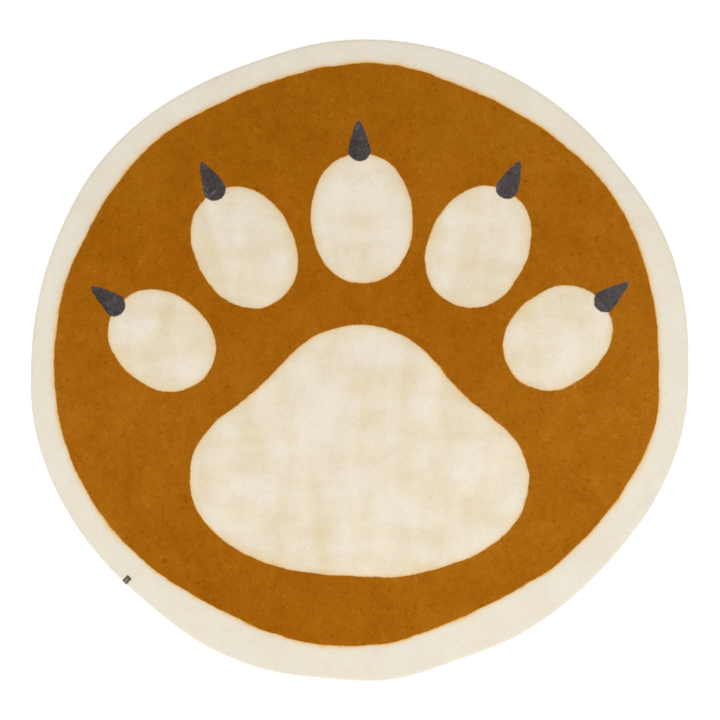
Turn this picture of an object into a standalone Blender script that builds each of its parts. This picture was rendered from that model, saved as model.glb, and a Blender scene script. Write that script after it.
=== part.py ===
"""Round hand-felted wool rug for a child's room, lying flat on the floor.

The rug is one slab of wet-felted wool: an ochre ground and a cream border felted together, with the uneven
outline of a piece shaped by hand and a soft round rim. A small woven label is folded over the rim at the lower
left. Metres, +Z up. The origin is on the floor under the middle of the rug. Looking down on the rug, +X is to
its right and +Y to its top, and bearings run anticlockwise from +X.
"""

from collections import namedtuple
from math import acos, atan2, cos, pi, radians, sin, tau

import bmesh
import bpy
from mathutils import Matrix, Vector

MM = 0.001

# ---------------------------------------------------------------- driving dimensions

THICKNESS = 10 * MM  # of the ochre ground, the thickest wool
BORDER_THICKNESS = 9.4 * MM  # of the cream border, which has one layer of wool fewer
RIM_HEIGHT = 4.2 * MM  # where the rim is widest
RIM_SHOULDER = 6.5 * MM  # how far in from the rim its top starts to round off
RIM_FOOT = 3 * MM  # how far in from the rim the flat underside starts

LABEL_BEARING = 223.4  # degrees
LABEL_WIDTH = 10 * MM  # along the rim
LABEL_REACH = 15 * MM  # in from its fold, above and below
TAPE = 0.7 * MM  # thickness of the woven tape
TAPE_PROUD = 0.2 * MM  # how far its top lies above the border
TAPE_LIFT = 0.1 * MM  # how far its lower end lies above the floor
FOLD_PROUD = 0.6 * MM  # how far its fold stands out of the rim
CLEARANCE = 0.3 * MM  # between the tape and the felt that it pinches
PINCH_DEPTH = 5 * MM  # how far outside the tape the felt is pressed away, past the slab's own surface

# Where the spokes below meet, measured from the middle of the rug.
HUB = Vector((-0.7 * MM, -0.2 * MM, 0))

# The rug's outline: a spoke every 12 degrees, with the distance of the rim and the width of the cream border
# on it, in millimetres. The border is widest at the bottom.
Spoke = namedtuple("Spoke", "bearing rim border")
SPOKES = (
    Spoke(0, 600, 54),
    Spoke(12, 602, 54),
    Spoke(24, 600, 49),
    Spoke(36, 591, 40),
    Spoke(48, 589, 48),
    Spoke(60, 588, 53),
    Spoke(72, 587, 52),
    Spoke(84, 586, 43),
    Spoke(96, 583, 44),
    Spoke(108, 577, 44),
    Spoke(120, 581, 46),
    Spoke(132, 590, 44),
    Spoke(144, 595, 47),
    Spoke(156, 594, 45),
    Spoke(168, 595, 40),
    Spoke(180, 598, 41),
    Spoke(192, 604, 46),
    Spoke(204, 601, 47),
    Spoke(216, 594, 49),
    Spoke(228, 587, 55),
    Spoke(240, 590, 68),
    Spoke(252, 590, 67),
    Spoke(264, 583, 59),
    Spoke(276, 585, 66),
    Spoke(288, 575, 68),
    Spoke(300, 579, 74),
    Spoke(312, 581, 65),
    Spoke(324, 586, 59),
    Spoke(336, 597, 57),
    Spoke(348, 603, 50),
)

# The long soft hills that felting by hand leaves in the top: length from crest to crest, the bearing that the
# wave runs along, its height, and where it starts.
Wave = namedtuple("Wave", "length bearing height start")
HILLS = (
    Wave(length=0.52, bearing=20, height=0.30 * MM, start=0.0),
    Wave(length=0.37, bearing=105, height=0.25 * MM, start=1.9),
    Wave(length=0.29, bearing=-35, height=0.20 * MM, start=4.1),
)

# ---------------------------------------------------------------- mesh steps

SEGMENTS = 4 * len(SPOKES)  # round the rug
GROUND_RINGS = 9  # from the middle of the top to the edge of the ochre ground
BORDER_RINGS = 2  # from there to the rim's shoulder
SHOULDER_STEPS = 4  # round the rim's upper side
FOOT_STEPS = 2  # round its lower side
UNDER_RINGS = 2  # on the flat underside
FOLD_STEPS = 12  # round the label's fold

CREAM = "e8e0ce"
OCHRE = "a6640f"
LABEL_BROWN = "4e4440"


def around(values, bearing):
    """The smooth closed curve through evenly spaced values, read at a bearing in radians."""
    place = (bearing % tau) / tau * len(values)
    row = int(place)
    t = place - row
    a, b, c, d = (values[(row + step) % len(values)] for step in (-1, 0, 1, 2))
    return b + t / 2 * (c - a + t * (2 * a - 5 * b + 4 * c - d + t * (3 * (b - c) + d - a)))


def rim(bearing):
    """Distance from the hub to the rim."""
    return around([spoke.rim for spoke in SPOKES], bearing) * MM


def ground(bearing):
    """Distance from the hub to the edge of the ochre ground."""
    return rim(bearing) - around([spoke.border for spoke in SPOKES], bearing) * MM


def hills(x, y):
    """Height that the hand-felted hills add to the top."""
    return sum(
        wave.height
        * sin(tau * (x * cos(radians(wave.bearing)) + y * sin(radians(wave.bearing))) / wave.length + wave.start)
        for wave in HILLS
    )


def section(bearing):
    """The slab's section on one spoke: distance and height of each ring, from the top's middle round to below."""
    edge, inner = rim(bearing), ground(bearing)
    shoulder, foot = edge - RIM_SHOULDER, edge - RIM_FOOT
    rings = [(inner * ring / GROUND_RINGS, THICKNESS) for ring in range(1, GROUND_RINGS + 1)]
    for ring in range(1, BORDER_RINGS + 1):
        rings.append((inner + (shoulder - inner) * ring / BORDER_RINGS, BORDER_THICKNESS))
    rings = [(out, top + hills(out * cos(bearing), out * sin(bearing))) for out, top in rings]
    drop = rings[-1][1] - RIM_HEIGHT
    for step in range(1, SHOULDER_STEPS + 1):
        turn = pi / 2 * step / SHOULDER_STEPS
        rings.append((shoulder + RIM_SHOULDER * sin(turn), RIM_HEIGHT + drop * cos(turn)))
    for step in range(1, FOOT_STEPS + 1):
        turn = pi / 2 * step / FOOT_STEPS
        rings.append((foot + RIM_FOOT * cos(turn), RIM_HEIGHT * (1 - sin(turn))))
    for ring in range(UNDER_RINGS, 0, -1):
        rings.append((foot * ring / (UNDER_RINGS + 1), 0))
    return rings


def srgb(code):
    """Linear red, green, blue and alpha of an sRGB hex colour."""
    parts = [int(code[place : place + 2], 16) / 255 for place in (0, 2, 4)]
    return [part / 12.92 if part <= 0.04045 else ((part + 0.055) / 1.055) ** 2.4 for part in parts] + [1]


def material(name, colour, roughness):
    """A plain finish for one kind of wool or tape."""
    finish = bpy.data.materials.new(name)
    finish.use_nodes = True
    finish.diffuse_color = srgb(colour)
    shader = finish.node_tree.nodes["Principled BSDF"]
    shader.inputs["Base Color"].default_value = srgb(colour)
    shader.inputs["Roughness"].default_value = roughness
    shader.inputs["Metallic"].default_value = 0
    return finish


def add_object(name, shape, collection):
    """A smooth-shaded object made from a bmesh, which is freed."""
    mesh = bpy.data.meshes.new(name)
    shape.to_mesh(mesh)
    shape.free()
    mesh.shade_smooth()
    made = bpy.data.objects.new(name, mesh)
    collection.objects.link(made)
    return made


def felt_slab(collection):
    """The rug: a sphere pressed flat, with its rings moved out to the slab's section on each spoke."""
    rows = len(section(0)) + 1
    shape = bmesh.new()
    bmesh.ops.create_uvsphere(shape, u_segments=SEGMENTS, v_segments=rows, radius=1)
    for point in shape.verts:
        row = round(acos(max(-1, min(1, point.co.z))) / pi * rows)
        if row in (0, rows):
            point.co = HUB + Vector((0, 0, THICKNESS + hills(0, 0) if row == 0 else 0))
            continue
        bearing = atan2(point.co.y, point.co.x)
        out, height = section(bearing)[row - 1]
        point.co = HUB + Vector((out * cos(bearing), out * sin(bearing), height))
    slab = add_object("felt_rug", shape, collection)
    slab.data.materials.append(material("cream_felted_wool", CREAM, 0.95))
    slab.data.materials.append(material("ochre_felted_wool", OCHRE, 0.95))
    for face in slab.data.polygons:
        middle = face.center - HUB
        in_ground = middle.xy.length < ground(atan2(middle.y, middle.x))
        face.material_index = 1 if in_ground and face.normal.z > 0 else 0
    return slab


def label_place():
    """Stands the label on the rim: X out of the rug, square to its outline, with the origin on the rim."""
    bearing, nudge = radians(LABEL_BEARING), radians(1)
    slope = (rim(bearing + nudge) - rim(bearing - nudge)) / (2 * nudge)
    outward = bearing - atan2(slope, rim(bearing))
    on_rim = HUB + rim(bearing) * Vector((cos(bearing), sin(bearing), 0))
    return Matrix.Translation(on_rim) @ Matrix.Rotation(outward, 4, "Z")


def folded_strip(name, width, reach, inward, outward, collection):
    """A strip folded over the rim along the middle of the tape, as thick as it reaches inward and outward."""
    top, bottom = BORDER_THICKNESS + TAPE_PROUD - TAPE / 2, TAPE_LIFT + TAPE / 2
    radius = (top - bottom) / 2
    centre = Vector((FOLD_PROUD - TAPE / 2 - radius, 0, (top + bottom) / 2))
    rows = FOLD_STEPS + 2
    shape = bmesh.new()
    bmesh.ops.create_grid(shape, x_segments=rows, y_segments=1, size=1)
    for point in shape.verts:
        row = round((point.co.x + 1) / 2 * rows)
        turn = pi * min(max(row - 1, 0), FOLD_STEPS) / FOLD_STEPS - pi / 2
        leg = FOLD_PROUD - reach - centre.x if row in (0, rows) else 0
        across = point.co.y * width / 2
        point.co = centre + Vector((radius * cos(turn) + leg, across, radius * sin(turn)))
    bmesh.ops.recalc_face_normals(shape, faces=shape.faces)
    strip = add_object(name, shape, collection)
    strip.matrix_world = label_place()
    if strip.data.polygons[rows // 2].normal.x < 0:
        strip.data.flip_normals()
    wall = strip.modifiers.new("tape thickness", "SOLIDIFY")
    wall.thickness = inward + outward
    wall.offset = (outward - inward) / (outward + inward)
    wall.use_even_offset = True
    return strip


def edge_label(collection):
    """The woven tape label."""
    label = folded_strip("edge_label", LABEL_WIDTH, LABEL_REACH, TAPE / 2, TAPE / 2, collection)
    label.data.materials.append(material("woven_brown_tape", LABEL_BROWN, 0.8))
    return label


def pinch(slab, collection):
    """Presses the felt in under the label, so that the folded tape lies in it with an even gap."""
    width, reach = LABEL_WIDTH + 2 * CLEARANCE, LABEL_REACH + CLEARANCE
    cutter = folded_strip("label_pinch", width, reach, TAPE / 2 + CLEARANCE, PINCH_DEPTH, collection)
    cutter.hide_render = True
    cutter.display_type = "WIRE"
    cut = slab.modifiers.new("label pinch", "BOOLEAN")
    cut.operation = "DIFFERENCE"
    cut.solver = "EXACT"
    cut.object = cutter


def new_collection(name):
    made = bpy.data.collections.new(name)
    bpy.context.scene.collection.children.link(made)
    return made


def main():
    for old in list(bpy.data.objects):
        bpy.data.objects.remove(old)
    pieces, cutters = new_collection("round_felt_rug"), new_collection("cutters")
    pinch(felt_slab(pieces), cutters)
    edge_label(pieces)


main()
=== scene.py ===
"""Dresses a round hand-felted wool rug: the felt with its coloured layers, its loose fibres, a woven label
and its stitches, on a plain pale floor. Everything is in metres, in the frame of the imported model: +Z up, +X
to the rug's right and +Y to its top. Bearings run anticlockwise from +X, about the hub that the outline was
measured from.
"""

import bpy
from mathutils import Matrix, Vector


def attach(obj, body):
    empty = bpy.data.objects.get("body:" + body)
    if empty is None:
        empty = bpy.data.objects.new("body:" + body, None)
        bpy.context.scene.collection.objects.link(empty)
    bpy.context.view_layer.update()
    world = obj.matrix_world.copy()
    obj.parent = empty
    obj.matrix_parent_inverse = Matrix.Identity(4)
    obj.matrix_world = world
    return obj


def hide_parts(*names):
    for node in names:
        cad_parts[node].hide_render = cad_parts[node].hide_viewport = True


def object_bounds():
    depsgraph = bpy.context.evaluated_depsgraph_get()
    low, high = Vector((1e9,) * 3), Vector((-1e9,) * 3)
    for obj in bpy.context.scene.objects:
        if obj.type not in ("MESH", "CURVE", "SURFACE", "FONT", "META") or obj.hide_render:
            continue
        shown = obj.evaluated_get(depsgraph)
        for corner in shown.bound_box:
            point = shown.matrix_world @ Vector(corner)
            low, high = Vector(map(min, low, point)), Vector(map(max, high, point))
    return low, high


bl_info = {
    "name": "Round Felt Rug",
    "version": (1, 0, 0),
    "blender": (4, 5, 0),
    "location": "View3D > Sidebar > Felt Rug",
    "description": "Builds a round wet-felted wool rug with a paw print felted in",
    "category": "Object",
}

from collections import namedtuple
from math import atan2, cos, pi, radians, sin, tau

import bmesh
import bpy
import numpy as np
from bpy.props import FloatProperty, FloatVectorProperty, IntProperty, PointerProperty
from mathutils import Matrix, Vector

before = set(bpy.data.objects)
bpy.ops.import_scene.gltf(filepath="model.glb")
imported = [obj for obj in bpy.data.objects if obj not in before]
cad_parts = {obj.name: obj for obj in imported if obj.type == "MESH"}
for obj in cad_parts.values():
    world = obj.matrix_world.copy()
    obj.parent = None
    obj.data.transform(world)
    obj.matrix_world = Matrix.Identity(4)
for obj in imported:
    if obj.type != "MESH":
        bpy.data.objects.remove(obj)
CAD_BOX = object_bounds()
MM = 0.001

# ---------------- the felt, as in the solid that it stands for

GROUND_THICKNESS = 10 * MM
BORDER_THICKNESS = 9.4 * MM
RIM_HEIGHT = 4.2 * MM
RIM_SHOULDER = 6.5 * MM
RIM_FOOT = 3 * MM
HUB = Vector((-0.7 * MM, -0.2 * MM, 0))
SPOKES = 120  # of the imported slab, which its rim is read on

# Width of the cream border, in millimetres, every 12 degrees from bearing 0.
BORDER_WIDTHS = (54, 54, 49, 40, 48, 53, 52, 43, 44, 44, 46, 44, 47, 45, 40)  # 0 to 168
BORDER_WIDTHS += (41, 46, 47, 49, 55, 68, 67, 59, 66, 68, 74, 65, 59, 57, 50)  # 180 to 348

LAP = 1.6 * MM  # how far the cream is laid in over the edge of the ochre

Wave = namedtuple("Wave", "length bearing height start")
HILLS = (
    Wave(length=0.52, bearing=20, height=0.30 * MM, start=0.0),
    Wave(length=0.37, bearing=105, height=0.25 * MM, start=1.9),
    Wave(length=0.29, bearing=-35, height=0.20 * MM, start=4.1),
)

# ---------------- the paw print, in millimetres from the middle

Blob = namedtuple("Blob", "x y radius")
PAD = (
    Blob(0, -108, 172),
    Blob(-182, -214, 128),
    Blob(184, -220, 124),
    Blob(-70, -262, 118),
    Blob(72, -264, 116),
)
PAD_BLEND = 110  # how softly the pad's round parts run together

Toe = namedtuple("Toe", "x y turn half_width half_length")  # turn: degrees, anticlockwise from straight up
TOES = (
    Toe(360, 40, -52, 86, 104),
    Toe(216, 206, -26, 90, 114),
    Toe(4, 258, 2, 92, 118),
    Toe(-210, 205, 27, 90, 114),
    Toe(-360, 36, 53, 84, 102),
)
TOE_SQUARENESS = 2.15  # 2 is an ellipse
CLAW_BASE = 6  # from the toe's tip to the middle of the claw's round end
CLAW_LENGTH = 56
CLAW_RADIUS = 21
CLAW_TAPER = 0.7

# ---------------- the label, as in the solid that it stands for

LABEL_BEARING = 223.4
LABEL_WIDTH = 10 * MM
LABEL_REACH = 15 * MM
TAPE = 0.7 * MM
TAPE_PROUD = 0.2 * MM
TAPE_LIFT = 0.1 * MM
FOLD_PROUD = 0.6 * MM
CLEARANCE = 0.3 * MM

LEG_TOP = BORDER_THICKNESS + TAPE_PROUD - TAPE / 2  # heights of the middle of the tape's two legs
LEG_BOTTOM = TAPE_LIFT + TAPE / 2
FOLD_RADIUS = (LEG_TOP - LEG_BOTTOM) / 2
FOLD_X = FOLD_PROUD - TAPE / 2 - FOLD_RADIUS  # the fold's centre, outward from the rim and up
FOLD_Z = (LEG_TOP + LEG_BOTTOM) / 2
HALF_TAPE = FOLD_X - (FOLD_PROUD - LABEL_REACH) + pi / 2 * FOLD_RADIUS  # from the fold's middle to an end

# ---------------- the photograph's view

PHOTO_SIDE = 720  # pixels
RUG_WIDTH_PX = 657.4
RUG_RIGHT_PX, RUG_UP_PX = -0.35, -0.15  # from the photograph's middle to the rug's
LENS = 85
SENSOR = 36


# ---------------- what a user can change


def linear(code):
    """Linear red, green, blue and alpha of an sRGB hex colour."""
    parts = [int(code[place : place + 2], 16) / 255 for place in (0, 2, 4)]
    return [part / 12.92 if part <= 0.04045 else ((part + 0.055) / 1.055) ** 2.4 for part in parts] + [1]


def amount(name, description, default, **more):
    return FloatProperty(name=name, description=description, default=default, min=0, **more)


def size(name, description, default):
    return amount(name, description, default, precision=5, unit="LENGTH")


def colour(name, description, code):
    look = {"subtype": "COLOR", "size": 4, "min": 0, "max": 1, "default": linear(code)}
    return FloatVectorProperty(name=name, description=description, **look)


class FELTRUG_PG_felt(bpy.types.PropertyGroup):
    """Sizes and colours of the felt"""

    cells: IntProperty(name="Cells", description="Cells from its middle to its rim", default=100, min=20)
    motif_raise: size("Motif Height", "How far the paw print's own layer of wool stands up", 0.4 * MM)
    lump_size: size("Lump Size", "Width of the soft lumps in the felt", 55 * MM)
    lump_height: size("Lump Height", "Height of the soft lumps", 0.8 * MM)
    nub_size: size("Nub Size", "Width of the small nubs in the felt", 18 * MM)
    nub_height: size("Nub Height", "Height of the small nubs", 0.4 * MM)
    border: colour("Border", "Undyed cream wool of the border and the back", "ebe4d3")
    motif: colour("Motif", "Cream wool of the paw print", "efe5d2")
    ground: colour("Ground", "Ochre wool of the ground", "a56209")
    tint: colour("Tinted Cream", "Cream wool at a join, with ochre fibres worked up into it", "e6bb74")
    stain: colour("Stained Cream", "Cream wool with the ground's wool showing through it", "dabb74")
    claw: colour("Claws", "Charcoal wool of the claws", "4c4746")


class FELTRUG_PG_fibres(bpy.types.PropertyGroup):
    """Sizes of the loose fibres"""

    length: size("Length", "Length of a wisp on the top", 9 * MM)
    fuzz_length: size("Fuzz Length", "Length of a wisp on the rim", 5 * MM)
    thickness: size("Thickness", "Thickness of a wisp", 0.22 * MM)
    density: amount("Density", "Wisps on a square metre of the top", 4800)
    fuzz_density: amount("Fuzz Density", "Wisps on a square metre of the rim", 70000)


class FELTRUG_PG_label(bpy.types.PropertyGroup):
    """Sizes and colours of the label"""

    pitch: size("Thread Pitch", "Distance between the tape's threads", 0.5 * MM)
    relief: size("Weave Height", "Height of a thread where it crosses another", 0.09 * MM)
    stitch: size("Stitch", "Length of one stitch", 1.6 * MM)
    thread: size("Thread", "Thickness of the sewing thread", 0.38 * MM)
    edge: colour("Edges", "Dark threads along the tape's edges", "5a4d40")
    middle: colour("Middle", "Lighter threads along the tape's middle", "8c7d70")
    sewing: colour("Sewing Thread", "Colour of the sewing thread", "3b332f")


class FELTRUG_PG_stage(bpy.types.PropertyGroup):
    """Light on the rug"""

    sky: amount("Sky", "Strength of the even white light from all round", 0.8)
    lamp: amount("Lamp", "Power of the wide soft lamp", 44, unit="POWER")


# ---------------- small tools

# The kinds of node that most of the work is done with.
MATH = "ShaderNodeMath"
VECTOR_MATH = "ShaderNodeVectorMath"
COMBINE = "ShaderNodeCombineXYZ"
MIX = "ShaderNodeMix"  # for colours its inputs are 0, 6 and 7, and its output is 2
MAP_RANGE = "ShaderNodeMapRange"
NOISE = "ShaderNodeTexNoise"
ATTRIBUTE = "GeometryNodeInputNamedAttribute"


def add(tree, kind, inputs=(), **settings):
    """Adds a node, sets its settings, and links or sets its inputs. A dictionary names or numbers them, and a
    tuple gives the first ones in order. What comes back is the node's outputs."""
    node = tree.nodes.new(kind)
    for name, value in settings.items():
        setattr(node, name, value)
    for name, value in inputs.items() if isinstance(inputs, dict) else enumerate(inputs):
        if isinstance(value, bpy.types.NodeSocket):
            tree.links.new(value, node.inputs[name])
        else:
            node.inputs[name].default_value = value
    return node.outputs


def start_material(name, constants):
    """A new material, its node tree, and its Principled shader with the inputs that are the same all over."""
    made = bpy.data.materials.new(name)
    made.use_nodes = True
    shader = made.node_tree.nodes["Principled BSDF"]
    for key, value in constants.items():
        shader.inputs[key].default_value = value
    return made, made.node_tree, shader


def start_tree(name, sizes):
    """A Geometry Nodes tree with a named input for each size, and the sockets that those come from."""
    tree = bpy.data.node_groups.new(name, "GeometryNodeTree")
    tree.interface.new_socket("Geometry", in_out="INPUT", socket_type="NodeSocketGeometry")
    for label in sizes:
        tree.interface.new_socket(label, in_out="INPUT", socket_type="NodeSocketFloat")
    tree.interface.new_socket("Geometry", in_out="OUTPUT", socket_type="NodeSocketGeometry")
    return tree, add(tree, "NodeGroupInput")


def end_tree(tree, geometry, material):
    """Realizes a tree's instances, gives them their material and puts them out."""
    real = add(tree, "GeometryNodeRealizeInstances", {"Geometry": geometry})[0]
    dressed = add(tree, "GeometryNodeSetMaterial", {"Geometry": real, "Material": material})[0]
    add(tree, "NodeGroupOutput", {"Geometry": dressed})


def mottled(tree, shader, base, place, size, contrast, darkest):
    """Sets a material's colour: the base, lighter and darker by a noise of one size."""
    noise = add(tree, NOISE, {"Vector": place, "Scale": 1 / size, "Detail": 2.0})[0]
    tone = add(tree, MATH, (noise, contrast, darkest), operation="MULTIPLY_ADD")[0]
    toned = add(tree, VECTOR_MATH, {0: base, "Scale": tone}, operation="SCALE")[0]
    tree.links.new(toned, shader.inputs["Base Color"])


def strewn(tree, points, steps, bend, rotation, scale):
    """A curve on each point, turned and scaled. Its bend is a start, a middle that draws it, and an end."""
    curve = add(tree, "GeometryNodeCurveQuadraticBezier", (steps, *bend))[0]
    places = {"Points": points, "Instance": curve, "Rotation": rotation, "Scale": scale}
    placed = add(tree, "GeometryNodeInstanceOnPoints", places)[0]
    return add(tree, "GeometryNodeRealizeInstances", {"Geometry": placed})[0]


def tubes(tree, curves, thickness, sides, scale=1.0):
    """Capped tubes along curves."""
    radius = add(tree, MATH, (thickness, 0.5), operation="MULTIPLY")[0]
    ring = add(tree, "GeometryNodeCurvePrimitiveCircle", {"Resolution": sides, "Radius": radius})[0]
    swept = {"Curve": curves, "Profile Curve": ring, "Scale": scale, "Fill Caps": True}
    return add(tree, "GeometryNodeCurveToMesh", swept)[0]


def evaluated(base):
    """The plain mesh of an object with its modifiers."""
    return bpy.data.meshes.new_from_object(base.evaluated_get(bpy.context.evaluated_depsgraph_get()))


def grow(base, tree, values):
    """The plain mesh that a tree makes from an object. The tree's inputs are set by their identifiers."""
    modifier = base.modifiers.new(tree.name, "NODES")
    modifier.node_group = tree
    for item in tree.interface.items_tree:
        if item.in_out == "INPUT" and item.name in values:
            modifier[item.identifier] = values[item.name]
    mesh = evaluated(base)
    base.modifiers.remove(modifier)
    return mesh


def show(name, mesh):
    """An object in the scene that holds a mesh, shaded smooth."""
    mesh.name = name
    mesh.shade_smooth()
    made = bpy.data.objects.new(name, mesh)
    bpy.context.scene.collection.objects.link(made)
    return made


def mesh_of(shape, name):
    """A mesh made from a bmesh, which is freed."""
    mesh = bpy.data.meshes.new(name)
    shape.to_mesh(mesh)
    shape.free()
    return mesh


def points_of(mesh):
    """A mesh's points as an array of x, y, z rows."""
    flat = np.empty(len(mesh.vertices) * 3)
    mesh.vertices.foreach_get("co", flat)
    return flat.reshape(-1, 3)


def move_points(mesh, *columns):
    """Moves a mesh's points to new x, y and z columns."""
    mesh.vertices.foreach_set("co", np.column_stack(columns).ravel())
    mesh.update()


def write_attribute(mesh, name, kind, values):
    """Stores a value at each point of a mesh."""
    field = "vector" if kind == "FLOAT_VECTOR" else "value"
    mesh.attributes.new(name, kind, "POINT").data.foreach_set(field, np.asarray(values, float).ravel())


def soft_step(value, start, end):
    """0 before start, 1 past end, and smooth between."""
    t = np.clip((value - start) / (end - start), 0, 1)
    return t * t * (3 - 2 * t)


# ---------------- the rug's outline and its coloured areas


def around(values, bearing):
    """The smooth closed curve through evenly spaced values, read at bearings in radians."""
    values = np.asarray(values, float)
    place = np.mod(bearing, tau) / tau * len(values)
    row = np.floor(place).astype(int)
    t = place - row
    a, b, c, d = (values[(row + step) % len(values)] for step in (-1, 0, 1, 2))
    return b + t / 2 * (c - a + t * (2 * a - 5 * b + 4 * c - d + t * (3 * (b - c) + d - a)))


def polar(x, y):
    """Distance and bearing from the hub."""
    return np.hypot(x - HUB.x, y - HUB.y), np.arctan2(y - HUB.y, x - HUB.x)


def frame_rim():
    """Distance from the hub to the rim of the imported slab, on even spokes."""
    x, y, _ = points_of(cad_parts["felt_rug"].data).T
    distance, bearing = polar(x, y)
    spoke = np.rint(bearing / tau * SPOKES).astype(int) % SPOKES
    return [distance[spoke == number].max() for number in range(SPOKES)]


RIM = frame_rim()


def rim(bearing):
    return around(RIM, bearing)


def in_ground(x, y):
    """How far inside the ochre ground a place is, and negative outside it."""
    distance, bearing = polar(x, y)
    return rim(bearing) - around(BORDER_WIDTHS, bearing) * MM - LAP - distance


def in_pad(x, y):
    """How far inside the paw's pad a place is. Its round parts run softly together."""
    outside = [np.hypot(x - blob.x * MM, y - blob.y * MM) - blob.radius * MM for blob in PAD]
    found, blend = outside[0], PAD_BLEND * MM
    for other in outside[1:]:
        share = np.clip(0.5 + 0.5 * (found - other) / blend, 0, 1)
        found = found * (1 - share) + other * share - blend * share * (1 - share)
    return -found


def along_toe(x, y, toe):
    """A place in a toe's own directions, in millimetres from its middle: across it, and out to its tip."""
    turn = radians(toe.turn)
    x, y = x / MM - toe.x, y / MM - toe.y
    return x * cos(turn) + y * sin(turn), y * cos(turn) - x * sin(turn)


def in_toe(x, y, toe):
    """How far inside a squarish oval toe a place is."""
    across, out = along_toe(x, y, toe)
    power, nought = TOE_SQUARENESS, 1e-9
    wide, long = np.abs(across) / toe.half_width, np.abs(out) / toe.half_length
    level = (wide**power + long**power) ** (1 / power) + nought
    slope = np.hypot(wide ** (power - 1) / toe.half_width, long ** (power - 1) / toe.half_length)
    return (1 - level) * level ** (power - 1) / (slope + nought) * MM


def in_claw(x, y, toe):
    """How far inside the claw at a toe's tip a place is: round at the toe, and pointed at its own tip."""
    across, out = along_toe(x, y, toe)
    out = out - toe.half_length - CLAW_BASE
    width = CLAW_RADIUS * (1 - np.clip(out / CLAW_LENGTH, 0, 1)) ** CLAW_TAPER
    inside = np.where(out < 0, CLAW_RADIUS - np.hypot(across, out), width - np.abs(across))
    return np.where(out > CLAW_LENGTH, -np.hypot(across, out - CLAW_LENGTH), inside) * MM


def in_motif(x, y):
    return np.maximum.reduce([in_pad(x, y)] + [in_toe(x, y, toe) for toe in TOES])


def in_claws(x, y):
    return np.maximum.reduce([in_claw(x, y, toe) for toe in TOES])


def label_place():
    """Stands the label on the rim: X out of the rug, square to its outline, with the origin on the rim."""
    bearing, nudge = radians(LABEL_BEARING), radians(1)
    slope = (rim(bearing + nudge) - rim(bearing - nudge)) / (2 * nudge)
    outward = bearing - atan2(slope, rim(bearing))
    on_rim = HUB + float(rim(bearing)) * Vector((cos(bearing), sin(bearing), 0))
    return Matrix.Translation(on_rim) @ Matrix.Rotation(outward, 4, "Z")


# ---------------- the felt's mesh

SHOULDER_RINGS = 6
FOOT_RINGS = 4
LAST_RING = SHOULDER_RINGS + FOOT_RINGS
JOIN_SOFTNESS = 12 * MM  # how far from the ground's edge the thickness evens out
MOTIF_SOFTNESS = JOIN_SOFTNESS / 3  # and how far from the motif's
EVEN_RIM = 2 * RIM_SHOULDER  # how far in from the rim's shoulder the lumps die away
PINCH_SOFTNESS = 3.5 * MM  # how far from the tape the felt is drawn in with it
PINCH_CUTS = 5  # each edge of a cell there is cut this many times
WELL_OUTSIDE = -0.1  # how deep in each layer the back counts as
LAYERS = "felt_layers"  # the attribute that holds how deep in each layer a point is


def blank_sheet(cells):
    """Two square grids joined by rings of faces: a closed sheet, with ring numbers for depths. The rings are
    laid corner by corner, because Blender's extrude orders a face's corners differently each run."""
    sheet = bmesh.new()
    bmesh.ops.create_grid(sheet, x_segments=2 * cells, y_segments=2 * cells, size=1)
    upper = [point for point in sheet.verts if point.is_boundary]
    upper.sort(key=lambda point: atan2(point.co.y, point.co.x))
    for ring in range(1, LAST_RING + 1):
        lower = [sheet.verts.new((point.co.x, point.co.y, -ring)) for point in upper]
        for place in range(len(upper)):
            sheet.faces.new((upper[place - 1], upper[place], lower[place], lower[place - 1]))
        upper = lower
    below = Matrix.Translation((0, 0, -LAST_RING))
    bmesh.ops.create_grid(sheet, x_segments=2 * cells, y_segments=2 * cells, size=1, matrix=below)
    bmesh.ops.remove_doubles(sheet, verts=sheet.verts, dist=0.1 / cells)
    bmesh.ops.recalc_face_normals(sheet, faces=sheet.faces)
    return mesh_of(sheet, "felt_blank")


def hills(x, y):
    """Height that the long soft hills of felting by hand add to the top."""
    total = 0
    for wave in HILLS:
        run = x * cos(radians(wave.bearing)) + y * sin(radians(wave.bearing))
        total = total + wave.height * np.sin(tau * run / wave.length + wave.start)
    return total


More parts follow.
